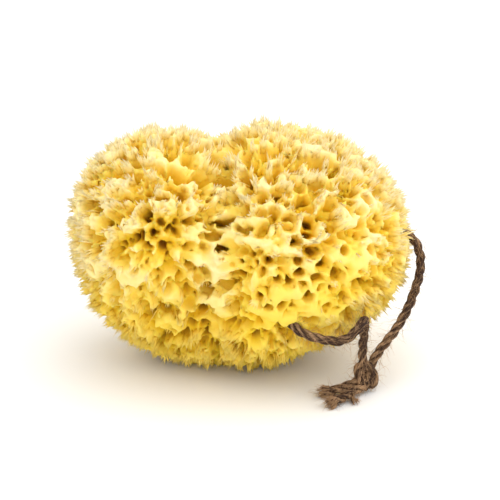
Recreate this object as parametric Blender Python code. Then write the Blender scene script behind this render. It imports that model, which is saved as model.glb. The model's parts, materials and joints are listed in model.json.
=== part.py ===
"""A yellow sea sponge on a loop of jute twine, at its real size.

The sponge is one grown body: four blended lobes, covered with pores whose walls rise to pointed conules,
and cut off flat below, where it grew on rock. The twine runs through a channel in the sponge, out at the
front and at the right, and its two ends are tied in an overhand knot that lies on the ground.
X is the sponge's length, Y its depth and Z is up. The origin is under the sponge, on the flat cut.
"""

import math

import bmesh
import bpy
import numpy as np
from mathutils import Matrix, Vector

MM = 0.001

# The sponge's lobes, in millimetres: centre, then half sizes along X, Y and Z.
LOBES = (
    ((-31.5, -4.8, 62), (37, 47, 35)),
    ((8.5, 0.2, 50), (23, 54, 47)),
    ((22.5, -0.8, 52), (46, 52, 43)),
    ((-11.5, 2.2, 40), (54, 42, 41.5)),
)
LOBE_BLEND = 5.0
MIDDLE = np.array((-1.5, -2.8, 46.0))
FARTHEST = 110.0

# Wide hollows between and in the lobes, in millimetres: place, half width and depth.
HOLLOWS = (
    ((-5, -11, 97), 6.5, 4.0),
    ((-7, 17, 98), 8.0, 4.0),
    ((-10, -29, 91), 7.0, 3.0),
    ((-21, -27, 92), 8.0, 4.0),
    ((-29, -50, 68), 9.0, 5.0),
    ((-26, -49, 54), 7.0, 3.5),
    ((-14, -42, 28), 6.0, 4.5),
    ((-3, -47, 30), 6.0, 5.5),
    ((6, -51, 33), 6.0, 5.5),
    ((30, 37, 74), 9.0, 4.0),
    ((-36, 35, 44), 9.0, 4.5),
    ((14, 44, 30), 8.0, 4.0),
)

# Pores and conules, in millimetres. Large pores are given by place, width and depth.
PORE_PITCH = 6.3
PORE_PITCH_SPREAD = 1.5
PORE_DEPTH = (5.5, 9.0)
WIDE_PORE = 6.9
WALL_HALF = 1.1
FLOOR_RISE = 1.2
CONULE_DROP = (0.0, 2.6)
CUT_MARGIN = 3.5
CANDIDATES = 24000
SEED = 11
LARGE_PORES = (
    ((-21.2, -26.6, 91.9), 9.0, 12.0),
    ((9.6, -55.4, 43.2), 5.6, 13.0),
    ((16.4, -54.8, 43.4), 5.6, 13.0),
    ((22.8, -54.0, 56.5), 6.0, 11.0),
    ((14.5, -55.7, 53.9), 5.5, 10.0),
    ((28.5, -51.2, 64.5), 9.0, 10.0),
    ((37.4, -50.2, 53.8), 9.0, 10.0),
    ((47.6, -44.9, 48.1), 8.5, 9.0),
    ((26.2, -53.3, 46.0), 7.0, 11.0),
    ((35.0, -45.3, 73.0), 8.5, 10.0),
    ((47.7, -37.2, 71.9), 7.0, 9.0),
    ((40.7, -47.6, 42.0), 7.5, 9.0),
    ((-25.8, -50.3, 53.4), 7.0, 10.0),
    ((-28.6, -50.4, 66.0), 6.0, 9.0),
    ((-30.6, -47.4, 75.0), 6.5, 9.0),
    ((-16.0, -41.3, 31.7), 6.5, 11.0),
    ((-2.0, -45.0, 31.0), 6.5, 11.0),
    ((10.0, 6.0, 97.0), 8.0, 11.0),
    ((-38.0, 20.0, 88.0), 8.0, 10.0),
    ((30.0, 30.0, 84.0), 8.5, 10.0),
    ((58.0, 14.0, 66.0), 8.0, 10.0),
    ((14.0, 54.0, 52.0), 9.0, 11.0),
    ((-20.0, 42.0, 62.0), 8.0, 11.0),
    ((-66.0, -4.0, 56.0), 8.0, 10.0),
)

# Jute twine, in millimetres.
TWINE_DIAMETER = 4.0
TWINE_STEP = 4.4
CLEARANCE = 0.35
TWINE_RESOLUTION = 2

# The loop's route from the knot up the front strand, through the sponge and down the side strand.
FRONT_STRAND = (
    (48.4, -36.7, 8.8), (47.9, -37.2, 12.8), (47.8, -37.6, 17.8), (48.0, -38.0, 23.4), (48.2, -39.3, 28.6),
    (48.1, -42.2, 32.5), (47.2, -46.2, 33.8), (45.3, -49.5, 32.5), (42.4, -50.9, 29.9), (39.2, -51.1, 28.1),
    (35.6, -50.8, 27.6), (31.1, -50.7, 28.4), (26.6, -50.6, 29.7), (22.8, -50.0, 31.4),
)
CHANNEL = (
    (19.6, -48.0, 33.5), (16.8, -44.2, 36.2), (15.6, -38.6, 39.6), (18.4, -30.0, 44.0), (28.0, -19.6, 48.6),
    (43.0, -11.6, 53.2), (56.0, -8.0, 56.4),
)
SIDE_STRAND = (
    (64.0, -7.2, 56.8), (69.3, -8.0, 53.8), (71.8, -10.8, 48.4), (71.6, -14.8, 42.4), (69.4, -19.4, 36.5),
    (66.2, -24.1, 30.2), (62.2, -28.3, 24.4), (57.6, -31.4, 19.2), (53.7, -33.0, 14.2), (51.1, -33.4, 8.8),
)
KNOT_CENTRE = Vector((49.3, -35.2, 6.6))
KNOT_CORE = Vector((4.3, 4.0, 5.6))
KNOT_WRAP_RADIUS = 3.3
KNOT_WRAP_THICKNESS = 1.75
KNOT_WRAP_PITCH = 3.5
KNOT_WRAP_TURNS = 2.1
KNOT_TILT = math.radians(24)
BACK_TAIL = ((48.0, -33.8, 6.0), (44.0, -36.0, 4.4), (39.6, -38.4, 3.0), (35.2, -40.4, 2.5), (30.8, -42.1, 2.4))
FRONT_TAIL = ((48.2, -38.2, 3.4), (45.6, -40.2, 2.8), (42.1, -43.4, 2.5), (38.0, -48.0, 2.4), (33.9, -52.9, 2.4))


def lobe_distance(points, centre, radii):
    """About how far points lie outside an ellipsoid, and negative inside it."""
    offset = points - np.array(centre, float)
    radii = np.array(radii, float)
    share = np.linalg.norm(offset / radii, axis=-1)
    slope = np.linalg.norm(offset / radii**2, axis=-1)
    return share * (share - 1) / np.maximum(slope, 1e-9)


def outer_distance(points):
    """The blended lobes' distance, to the surface that the tips of the conules reach."""
    near = sum(np.exp(-lobe_distance(points, *lobe) / LOBE_BLEND) for lobe in LOBES)
    return -np.log(near) * LOBE_BLEND


def outer_radius(directions):
    """How far the outer surface is from the middle in each direction, found by halving."""
    low, high = np.zeros(len(directions)), np.full(len(directions), FARTHEST)
    for _ in range(26):
        half = (low + high) / 2
        inside = outer_distance(MIDDLE + directions * half[:, None]) < 0
        low, high = np.where(inside, half, low), np.where(inside, high, half)
    return low


def hollow_depth(points):
    """How deep the wide hollows are at each point of the outer surface."""
    depth = np.zeros(len(points))
    for place, width, deep in HOLLOWS:
        away = np.linalg.norm(points - np.array(place, float), axis=-1)
        depth = np.maximum(depth, deep * np.exp(-((away / width) ** 2)))
    return depth


def spiral_directions(count):
    """Directions spread evenly over a sphere."""
    index = np.arange(count) + 0.5
    height = 1 - 2 * index / count
    turn = index * math.pi * (3 - math.sqrt(5))
    flat = np.sqrt(1 - height**2)
    return np.stack([flat * np.cos(turn), flat * np.sin(turn), height], axis=-1)


def pore_sites(random):
    """Directions, depths and widths of the pores, spaced over the outer surface after the large ones."""
    directions = spiral_directions(CANDIDATES)
    places = MIDDLE + directions * outer_radius(directions)[:, None]
    pitch = PORE_PITCH + PORE_PITCH_SPREAD * random.uniform(-1, 1, len(places))
    depth = random.uniform(*PORE_DEPTH, len(places))

    chosen = []
    for place, width, deep in LARGE_PORES:
        nearest = np.linalg.norm(places - np.array(place), axis=-1).argmin()
        pitch[nearest], depth[nearest] = width, deep
        chosen.append(nearest)
    for i in random.permutation(len(places)):
        away = np.linalg.norm(places[chosen] - places[i], axis=-1)
        if np.all(away > (pitch[chosen] + pitch[i]) / 2):
            chosen.append(i)
    return directions[chosen], depth[chosen], pitch[chosen]


def new_object(name, mesh, collection):
    made = bpy.data.objects.new(name, mesh)
    collection.objects.link(made)
    return made


def pored_mesh(random):
    """A closed mesh of cells, centred on the origin: each cell's centre is a pore, its corners conules.

    A wide pore also has a ring inside its corners, so that its walls are steep and its floor is broad.
    """
    shape = bmesh.new()
    lowered = shape.verts.layers.float.new("lowered")
    sites = []
    for direction, depth, width in zip(*pore_sites(random)):
        site = shape.verts.new(direction)
        site[lowered] = depth
        sites.append((site, width))
    bmesh.ops.convex_hull(shape, input=shape.verts)
    ridges = list(shape.edges)
    for conule in bmesh.ops.poke(shape, faces=shape.faces)["verts"]:
        conule[lowered] = random.uniform(*CONULE_DROP)
    bmesh.ops.rotate_edges(shape, edges=ridges, use_ccw=False)
    for site, width in sites:
        if width > WIDE_PORE:
            bmesh.ops.inset_region(
                shape, faces=site.link_faces, thickness=WALL_HALF / outer_radius(np.array([site.co]))[0]
            )
            for spoke in site.link_edges:
                spoke.other_vert(site)[lowered] = site[lowered] - FLOOR_RISE
    bmesh.ops.triangulate(shape, faces=shape.faces)

    directions = np.array([vertex.co.normalized() for vertex in shape.verts])
    radius = outer_radius(directions)
    surface = MIDDLE + directions * radius[:, None]
    relief = np.array([vertex[lowered] for vertex in shape.verts]) + hollow_depth(surface)
    relief *= np.clip(surface[:, 2] / CUT_MARGIN - 1, 0, 1)
    places = MIDDLE + directions * (radius - relief)[:, None]
    places[:, :2] -= (places[:, :2].min(axis=0) + places[:, :2].max(axis=0)) / 2
    for vertex, place in zip(shape.verts, places):
        vertex.co = Vector(place) * MM
    bmesh.ops.recalc_face_normals(shape, faces=shape.faces)
    return shape


def cut_flat(shape):
    """Takes off what lies below the ground, and closes the cut with one flat face."""
    everything = shape.verts[:] + shape.edges[:] + shape.faces[:]
    bmesh.ops.bisect_plane(
        shape, geom=everything, dist=1e-7, plane_co=(0, 0, 0), plane_no=(0, 0, -1), clear_outer=True
    )
    rim = [edge for edge in shape.edges if edge.is_boundary]
    bmesh.ops.holes_fill(shape, edges=rim, sides=0)
    bmesh.ops.triangulate(shape, faces=[face for face in shape.faces if len(face.verts) > 3])
    bmesh.ops.recalc_face_normals(shape, faces=shape.faces)


def smooth_route(points, step):
    """Points about a step apart along a smooth curve through a route's own points."""
    route = np.array(points, float)
    padded = np.vstack([2 * route[0] - route[1], route, 2 * route[-1] - route[-2]])
    fine = []
    for before, start, end, after in zip(padded, padded[1:], padded[2:], padded[3:]):
        for t in np.linspace(0, 1, 24, endpoint=False):
            fine.append(
                start
                + 0.5 * t * (end - before)
                + t * t * (before - 2.5 * start + 2 * end - 0.5 * after)
                + t**3 * (1.5 * (start - end) + 0.5 * (after - before))
            )
    fine = np.array(fine + [route[-1]])
    along = np.concatenate([[0], np.cumsum(np.linalg.norm(np.diff(fine, axis=0), axis=1))])
    even = np.linspace(0, along[-1], max(2, round(along[-1] / step)) + 1)
    return np.stack([np.interp(even, along, fine[:, k]) for k in range(3)], axis=1)


def tube(name, points, radius, collection, widths=None):
    """A capped round tube along points in millimetres, as a closed mesh object."""
    curve = bpy.data.curves.new(name, "CURVE")
    curve.dimensions = "3D"
    curve.bevel_depth = radius * MM
    curve.bevel_resolution = TWINE_RESOLUTION
    curve.use_fill_caps = True
    spline = curve.splines.new("POLY")
    spline.points.add(len(points) - 1)
    for i, (target, point) in enumerate(zip(spline.points, points)):
        target.co = (*(float(x) * MM for x in point), 1)
        target.radius = widths[i] if widths is not None else 1.0
    guide = new_object(name + "_line", curve, collection)
    bpy.context.view_layer.update()
    evaluated = guide.evaluated_get(bpy.context.evaluated_depsgraph_get())
    mesh = bpy.data.meshes.new_from_object(evaluated)
    bpy.data.objects.remove(guide)
    welded = bmesh.new()
    welded.from_mesh(mesh)
    bmesh.ops.remove_doubles(welded, verts=welded.verts, dist=1e-6)
    bmesh.ops.recalc_face_normals(welded, faces=welded.faces)
    welded.to_mesh(mesh)
    welded.free()
    return new_object(name, mesh, collection)


def as_cutter(shape):
    shape.hide_render = True
    shape.display_type = "WIRE"
    return shape


def boolean(target, other, operation):
    """Cuts the other object from the target or joins it, as a live modifier."""
    modifier = target.modifiers.new(operation.lower(), "BOOLEAN")
    modifier.object = other
    modifier.operation = operation


def material(name, colour, roughness):
    made = bpy.data.materials.new(name)
    made.use_nodes = True
    shader = made.node_tree.nodes["Principled BSDF"]
    shader.inputs["Base Color"].default_value = (*colour, 1)
    shader.inputs["Roughness"].default_value = roughness
    shader.inputs["Metallic"].default_value = 0.0
    return made


def make_sponge(parts):
    """The sponge: the pored body, cut flat below, before the twine's channel is taken out."""
    shape = pored_mesh(np.random.default_rng(SEED))
    cut_flat(shape)
    mesh = bpy.data.meshes.new("sponge")
    shape.to_mesh(mesh)
    shape.free()
    return new_object("sponge", mesh, parts)


def knot_core(name, grow, collection):
    """The strands bunched inside the knot, as an egg shape."""
    shape = bmesh.new()
    bmesh.ops.create_uvsphere(shape, u_segments=16, v_segments=10, radius=1.0)
    half = KNOT_CORE + Vector((grow, grow, grow))
    bmesh.ops.scale(shape, vec=half * MM, verts=shape.verts)
    bmesh.ops.translate(shape, vec=KNOT_CENTRE * MM, verts=shape.verts)
    mesh = bpy.data.meshes.new(name)
    shape.to_mesh(mesh)
    shape.free()
    return new_object(name, mesh, collection)


def knot_wraps(name, grow, collection):
    """The turns of twine round the knot, as a short leaning coil."""
    lean = Matrix.Rotation(KNOT_TILT, 3, "Y")
    steps = round(KNOT_WRAP_TURNS * 12)
    points = []
    for i in range(steps + 1):
        turn = 2 * math.pi * KNOT_WRAP_TURNS * i / steps
        rise = KNOT_WRAP_PITCH * KNOT_WRAP_TURNS * (i / steps - 0.5)
        around = Vector((KNOT_WRAP_RADIUS * math.cos(turn), KNOT_WRAP_RADIUS * math.sin(turn), rise))
        points.append(KNOT_CENTRE + lean @ around)
    return tube(name, points, KNOT_WRAP_THICKNESS + grow, collection)


def make_knot(parts, cutters):
    """The overhand knot, and the cutters that keep the strands and tails just clear of it."""
    knot = knot_core("knot", 0.0, parts)
    boolean(knot, as_cutter(knot_wraps("knot_wraps", 0.0, cutters)), "UNION")
    clear = (
        as_cutter(knot_core("knot_core_clearance", CLEARANCE, cutters)),
        as_cutter(knot_wraps("knot_wraps_clearance", CLEARANCE, cutters)),
    )
    return knot, clear


def make_twine(parts, knot_clearance):
    """The loop of twine from knot to knot, and the two tails below the knot."""
    radius = TWINE_DIAMETER / 2
    route = smooth_route(FRONT_STRAND + CHANNEL + SIDE_STRAND, TWINE_STEP)
    pieces = [tube("twine_loop", route, radius, parts)]
    for name, points in (("back_tail", BACK_TAIL), ("front_tail", FRONT_TAIL)):
        line = smooth_route(points, 3.0)
        frayed = np.interp(np.linspace(0, 1, len(line)), (0, 0.6, 1), (0.95, 1.0, 1.12))
        pieces.append(tube(name, line, radius, parts, frayed))
    for piece in pieces:
        for cutter in knot_clearance:
            boolean(piece, cutter, "DIFFERENCE")
    return pieces


def cut_channel(sponge, cutters):
    """The channel that the twine runs through, and its way past the conules near both ends."""
    route = smooth_route(FRONT_STRAND + CHANNEL + SIDE_STRAND, TWINE_STEP)
    reach = TWINE_DIAMETER / 2 + CLEARANCE
    boolean(sponge, as_cutter(tube("channel_cutter", route, reach, cutters)), "DIFFERENCE")


def main():
    for old in list(bpy.data.objects):
        bpy.data.objects.remove(old)
    parts = bpy.data.collections.new("sea_sponge")
    cutters = bpy.data.collections.new("cutters")
    bpy.context.scene.collection.children.link(parts)
    bpy.context.scene.collection.children.link(cutters)

    sponge = make_sponge(parts)
    cut_channel(sponge, cutters)
    knot, knot_clearance = make_knot(parts, cutters)
    twine = make_twine(parts, knot_clearance)

    sponge.data.materials.append(material("yellow_sponge", (0.86, 0.62, 0.20), 0.85))
    for piece in (knot, *twine):
        piece.data.materials.append(material(piece.name + "_jute", (0.20, 0.115, 0.06), 0.9))


main()
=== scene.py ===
"""The looks of the sea sponge on its loop of jute twine, laid out as a Blender add-on.

Lengths in the code are millimetres until MM turns them into metres.
"""

import json
import math

import bpy
import numpy as np
from mathutils import Matrix, Vector

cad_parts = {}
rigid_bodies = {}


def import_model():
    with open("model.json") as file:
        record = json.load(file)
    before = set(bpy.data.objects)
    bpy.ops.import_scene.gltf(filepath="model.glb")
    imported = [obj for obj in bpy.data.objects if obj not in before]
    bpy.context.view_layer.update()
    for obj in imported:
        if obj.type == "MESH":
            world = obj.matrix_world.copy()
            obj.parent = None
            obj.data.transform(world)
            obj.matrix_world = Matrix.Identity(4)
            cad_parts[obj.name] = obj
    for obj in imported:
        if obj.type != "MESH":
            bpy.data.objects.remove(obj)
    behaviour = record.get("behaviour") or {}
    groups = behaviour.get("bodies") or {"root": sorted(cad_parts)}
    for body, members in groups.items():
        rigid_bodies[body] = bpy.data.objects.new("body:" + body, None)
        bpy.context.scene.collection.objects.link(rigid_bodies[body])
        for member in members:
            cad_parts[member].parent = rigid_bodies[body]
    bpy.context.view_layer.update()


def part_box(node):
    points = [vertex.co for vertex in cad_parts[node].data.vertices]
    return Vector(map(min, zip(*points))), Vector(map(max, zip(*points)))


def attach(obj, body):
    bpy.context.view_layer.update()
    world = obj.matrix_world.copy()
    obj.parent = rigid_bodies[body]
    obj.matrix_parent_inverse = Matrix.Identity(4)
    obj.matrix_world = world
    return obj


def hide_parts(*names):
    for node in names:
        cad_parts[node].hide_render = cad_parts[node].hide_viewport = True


bl_info = {
    "name": "Sea Sponge on a Twine Loop",
    "version": (1, 0, 0),
    "blender": (4, 5, 0),
    "location": "3D View > Sidebar > Sponge",
    "description": "Grows a pored sea sponge and ties its loop of jute twine",
    "category": "Object",
}

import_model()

MM = 0.001

# The sponge's lobes: centre, then half sizes along X, Y and Z, as in the part's own solid.
LOBES = (
    ((-31.5, -4.8, 62), (37, 47, 35)),
    ((8.5, 0.2, 50), (23, 54, 47)),
    ((22.5, -0.8, 52), (46, 52, 43)),
    ((-11.5, 2.2, 40), (54, 42, 41.5)),
)
LOBE_BLEND = 5.0
MIDDLE = (-1.5, -2.8, 46.0)

# Wide hollows between and in the lobes: place, half width and depth.
HOLLOWS = (
    ((-5, -11, 97), 6.5, 4), ((-7, 17, 98), 8, 4), ((-10, -29, 91), 7, 3),
    ((-21, -27, 92), 11, 5), ((-29, -50, 68), 9, 5), ((-26, -49, 54), 7, 3.5),
    ((-14, -42, 28), 5, 6.5), ((-3, -47, 30), 5, 7.5), ((6, -51, 33), 5, 7.5),
    ((30, 37, 74), 9, 4), ((-36, 35, 44), 9, 4.5), ((14, 44, 30), 8, 4),
)

# Where the walls are smooth and broad with wide pores between: places with half widths, then the strengths of
# the field at which the area begins and is full.
SMOOTH = ((((28, -52, 44), 20), ((40, -46, 56), 12), ((8, -54, 40), 12)), 0.3, 0.6)

# Where the crests are worn lower and are less torn, so that the pores show.
WORN = ((((6, -54, 50), 42), ((-36, -42, 42), 30), ((46, -38, 66), 22)), 0.25, 0.75)

# Where the flesh has closed up, with no ordinary pores.
SOLID = ((((12, -55, 38.5), 5.5), ((18.5, -53, 35), 4)), 0.35, 0.55)

# Large pores that stand out: place, radius and depth.
LARGE_PORES = (
    ((-22, -30, 90.5), 5, 8), ((-28.5, -50, 65), 5.5, 5), ((-26.5, -49.5, 56), 4.5, 6),
    ((10.3, -55.4, 42.4), 2.3, 15), ((16.1, -54.8, 42.6), 2.4, 15), ((22.8, -54, 56.5), 2.4, 12),
    ((14.5, -55.7, 53.9), 2, 10), ((28.5, -51.2, 64.5), 3.6, 9), ((37.4, -50.2, 53.8), 3.6, 9),
    ((47.6, -44.9, 48.1), 3.4, 8), ((26.2, -53.3, 46), 2.8, 12), ((35, -45.3, 73), 3.4, 9),
    ((47.7, -37.2, 71.9), 2.5, 8), ((40.7, -47.6, 42), 2.8, 8), ((27.7, -49.1, 34.5), 3, 8),
    ((35.9, -50.6, 48.3), 2.2, 5), ((33.8, -49.4, 39.5), 2.3, 5), ((41.9, -43.2, 34.6), 3, 6),
    ((40.4, -46.8, 63.5), 2.4, 8), ((22.4, -53.2, 61), 2.2, 9), ((11, -54.7, 61.6), 2.3, 9),
    ((6.5, -55.5, 46.5), 2, 9), ((-30.6, -47.4, 77), 2.8, 9), ((-16, -41.3, 31.7), 2.6, 12),
    ((-11.5, -43, 29), 1.7, 9), ((-7.5, -45, 28.5), 1.9, 10), ((-3, -46.8, 29.2), 1.7, 9),
    ((1.5, -48.6, 30.6), 1.7, 9), ((5.5, -50.2, 32.4), 1.6, 8), ((10, 6, 97), 3, 11),
    ((-38, 20, 88), 3, 10), ((30, 30, 84), 3.3, 10), ((58, 14, 66), 3, 10),
    ((14, 54, 52), 3.6, 11), ((-20, 42, 62), 3, 11), ((-66, -4, 56), 3, 10),
)

# The twine's route, with the same points as the part's own solid.
FRONT_STRAND = (
    (48.4, -36.7, 8.8), (47.9, -37.2, 12.8), (47.8, -37.6, 17.8), (48.0, -38.0, 23.4), (48.2, -39.3, 28.6),
    (48.1, -42.2, 32.5), (47.2, -46.2, 33.8), (45.3, -49.5, 32.5), (42.4, -50.9, 29.9), (39.2, -51.1, 28.1),
    (35.6, -50.8, 27.6), (31.1, -50.7, 28.4), (26.6, -50.6, 29.7), (22.8, -50.0, 31.4),
)
CHANNEL = (
    (19.6, -48.0, 33.5), (16.8, -44.2, 36.2), (15.6, -38.6, 39.6), (18.4, -30.0, 44.0), (28.0, -19.6, 48.6),
    (43.0, -11.6, 53.2), (56.0, -8.0, 56.4),
)
SIDE_STRAND = (
    (64.0, -7.2, 56.8), (69.3, -8.0, 53.8), (71.8, -10.8, 48.4), (71.6, -14.8, 42.4), (69.4, -19.4, 36.5),
    (66.2, -24.1, 30.2), (62.2, -28.3, 24.4), (57.6, -31.4, 19.2), (53.7, -33.0, 14.2), (51.1, -33.4, 8.8),
)

# The knot: its middle, its turns' reach across, up and towards the camera, and how far it is tipped to the left.
KNOT_CENTRE = (49.3, -35.2, 6.6)
KNOT_SIZE = (0.82, 1.62, 1.7)
KNOT_TILT = math.radians(-24)

# Where the closed turn starts, as a share of a turn, with its steps, and the steps that make one full turn.
KNOT_START, KNOT_STEPS, STEPS_ROUND = 0.35, 63, 60

# The strap over the turns, with points across, up and towards the camera from the knot's middle.
KNOT_STRAP = (
    (-1.6, -4.6, 0.6), (-2.6, -2.4, 2.4), (-2.7, 0.8, 3.4), (-1.5, 3.6, 3.4), (0.6, 4.5, 3.2), (2.3, 3.2, 2.9),
    (3.0, 0.4, 2.4), (2.8, -2.4, 1.8), (1.8, -4.5, 1.0), (-0.2, -4.6, 0.0),
)

# The frayed ends, from the knot out.
BACK_TAIL = ((48.6, -36.4, 6.6), (47.1, -37.1, 5.6), (44.3, -38.3, 4.2), (40.7, -39.5, 3.2), (36.7, -41.1, 2.6),
             (32.3, -42.5, 2.4))
FRONT_TAIL = ((49.6, -37.8, 5.0), (48.2, -39.4, 3.6), (45.3, -41.7, 2.9), (42.0, -45.6, 2.5), (38.3, -49.1, 2.4),
              (35.0, -52.4, 2.4))
WISP = ((41.8, -41.6, 2.8), (42.9, -43.5, 2.4), (43.7, -46.4, 1.9), (44.4, -48.9, 1.6))

# Three equal circles that touch one another fit in one that is this many times as wide.
THREE_CIRCLES = 2.1547

# The volume keeps values above nothing, so the body's surface is at a level above it.
SURFACE_LEVEL = 8.0

# Crumbs that hang free have fewer points than this, and are left out.
CRUMB_POINTS = 3000

# Painted shade: the dark brown colour at the bottom of the deepest pores, where little light reaches.
PAINTED_PORE_SHADE = (0.42, 0.19, 0.015)

# How high the camera looks down from. The knot faces it.
CAMERA_ELEVATION = math.radians(20)

# The light from all round, and the area lights: name, place and size in metres, and power in watts.
ROOM_LIGHT = 1.09
LIGHTS = (
    ("overhead", (0.35, -0.15, 0.9), 1.3, 5.0),
    ("front_fill", (0.45, -0.9, 0.5), 0.6, 0.6),
)


class SpongeSettings(bpy.types.PropertyGroup):
    """Sizes and colours of the sponge."""

    pore_pitch: bpy.props.FloatProperty(
        name="Pore pitch", description="Distance between the middles of ordinary pores",
        default=5.8 * MM, unit="LENGTH", precision=4,
    )
    wide_pitch: bpy.props.FloatProperty(
        name="Wide pore pitch", description="Distance between pores where the walls are smooth",
        default=6.6 * MM, unit="LENGTH", precision=4,
    )
    bubble_pitch: bpy.props.FloatProperty(
        name="Small pore pitch", description="Distance between the small pores in the walls",
        default=2.7 * MM, unit="LENGTH", precision=4,
    )
    crest_drop: bpy.props.FloatProperty(
        name="Crest drop", description="How far a wall dips between two conules",
        default=7.5 * MM, unit="LENGTH", precision=4,
    )
    voxel: bpy.props.FloatProperty(
        name="Grain", description="Edge of the cells that the body is grown in",
        default=0.55 * MM, unit="LENGTH", precision=5,
    )
    triangles: bpy.props.IntProperty(
        name="Triangles", description="About how many triangles the body keeps",
        default=195000, min=1000,
    )
    tufts: bpy.props.IntProperty(
        name="Tufts", description="Number of torn tufts on each third of the sponge",
        default=1250, min=0,
    )
    tuft_width: bpy.props.FloatProperty(
        name="Tuft width", description="Width of a middling tuft",
        default=1.85 * MM, unit="LENGTH", precision=4,
    )
    tuft_root: bpy.props.FloatProperty(
        name="Deepest root", description="How far below the outermost tips a tuft may grow",
        default=4.0 * MM, unit="LENGTH", precision=4,
    )
    tip_colour: bpy.props.FloatVectorProperty(
        name="Tips", description="Colour of the dry tips", subtype="COLOR", size=3,
        default=(0.98, 0.81, 0.43),
    )
    wall_colour: bpy.props.FloatVectorProperty(
        name="Walls", description="Colour of the pore walls", subtype="COLOR", size=3,
        default=(0.965, 0.71, 0.135),
    )
    # Partly painted shade: the depths are more saturated and a little darker than the walls.
    deep_colour: bpy.props.FloatVectorProperty(
        name="Depths", description="Colour of the pores' floors", subtype="COLOR", size=3,
        default=(0.955, 0.655, 0.035),
    )


class TwineSettings(bpy.types.PropertyGroup):
    """Sizes and colours of the jute twine."""

    diameter: bpy.props.FloatProperty(
        name="Diameter", description="Thickness of the laid twine",
        default=4.0 * MM, unit="LENGTH", precision=4,
    )
    lay: bpy.props.FloatProperty(
        name="Lay", description="Length of one full turn of the twist",
        default=15.0 * MM, unit="LENGTH", precision=4,
    )
    fibres: bpy.props.FloatProperty(
        name="Loose fibres", description="Loose fibres on each square metre of twine", default=230000.0,
    )
    fibre_length: bpy.props.FloatProperty(
        name="Fibre length", description="Length of the longest loose fibres",
        default=9.0 * MM, unit="LENGTH", precision=4,
    )
    # The dark jute is both the darkest of the streaks and the painted shade in the grooves between the plies.
    dark_colour: bpy.props.FloatVectorProperty(
        name="Dark jute", description="Colour in the grooves", subtype="COLOR", size=3,
        default=(0.030, 0.012, 0.006),
    )
    light_colour: bpy.props.FloatVectorProperty(
        name="Light jute", description="Colour of the loose fibres", subtype="COLOR", size=3,
        default=(0.50, 0.30, 0.155),
    )


class StageSettings(bpy.types.PropertyGroup):
    """The camera, the floor and the lights."""

    elevation: bpy.props.FloatProperty(
        name="Elevation", description="How high the camera looks down from",
        default=CAMERA_ELEVATION, subtype="ANGLE",
    )
    distance: bpy.props.FloatProperty(
        name="Distance", description="From the camera to the sponge",
        default=750 * MM, unit="LENGTH",
    )
    target: bpy.props.FloatVectorProperty(
        name="Target", description="Point that the camera looks at", subtype="TRANSLATION", size=3,
        default=(3.5 * MM, -2.8 * MM, 47.5 * MM),
    )
    lens: bpy.props.FloatProperty(
        name="Lens", description="Focal length of the camera in millimetres", default=133.0,
    )
    floor_colour: bpy.props.FloatVectorProperty(
        name="Floor", description="Colour of the floor", subtype="COLOR", size=3,
        default=(0.95, 0.945, 0.925),
    )


def smooth_route(points, step):
    """Points about a step apart along a smooth curve through a route's own points."""
    route = np.array(points, float)
    padded = np.vstack([2 * route[0] - route[1], route, 2 * route[-1] - route[-2]])
    fine = []
    for before, start, end, after in zip(padded, padded[1:], padded[2:], padded[3:]):
        for t in np.linspace(0, 1, 24, endpoint=False):
            fine.append(
                start
                + 0.5 * t * (end - before)
                + t * t * (before - 2.5 * start + 2 * end - 0.5 * after)
                + t**3 * (1.5 * (start - end) + 0.5 * (after - before))
            )
    fine = np.array(fine + [route[-1]])
    along = np.concatenate([[0], np.cumsum(np.linalg.norm(np.diff(fine, axis=0), axis=1))])
    even = np.linspace(0, along[-1], max(2, round(along[-1] / step)) + 1)
    return np.stack([np.interp(even, along, fine[:, k]) for k in range(3)], axis=1)


def new_object(name, mesh):
    made = bpy.data.objects.new(name, mesh)
    bpy.context.scene.collection.objects.link(made)
    return made


def mesh_from(name, points, faces=(), is_line=False):
    """A mesh from millimetre points, with faces or as one line."""
    mesh = bpy.data.meshes.new(name)
    edges = [(i, i + 1) for i in range(len(points) - 1)] if is_line else []
    mesh.from_pydata([tuple(point) for point in np.asarray(points) * MM], edges, list(faces))
    if faces:
        mesh.shade_smooth()
    return mesh


def whole_route():
    """The twine's route from end to end, as an object that is one line."""
    route = smooth_route(FRONT_STRAND + CHANNEL + SIDE_STRAND, 1.5)
    return new_object("route", mesh_from("route", route, is_line=True))


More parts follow.
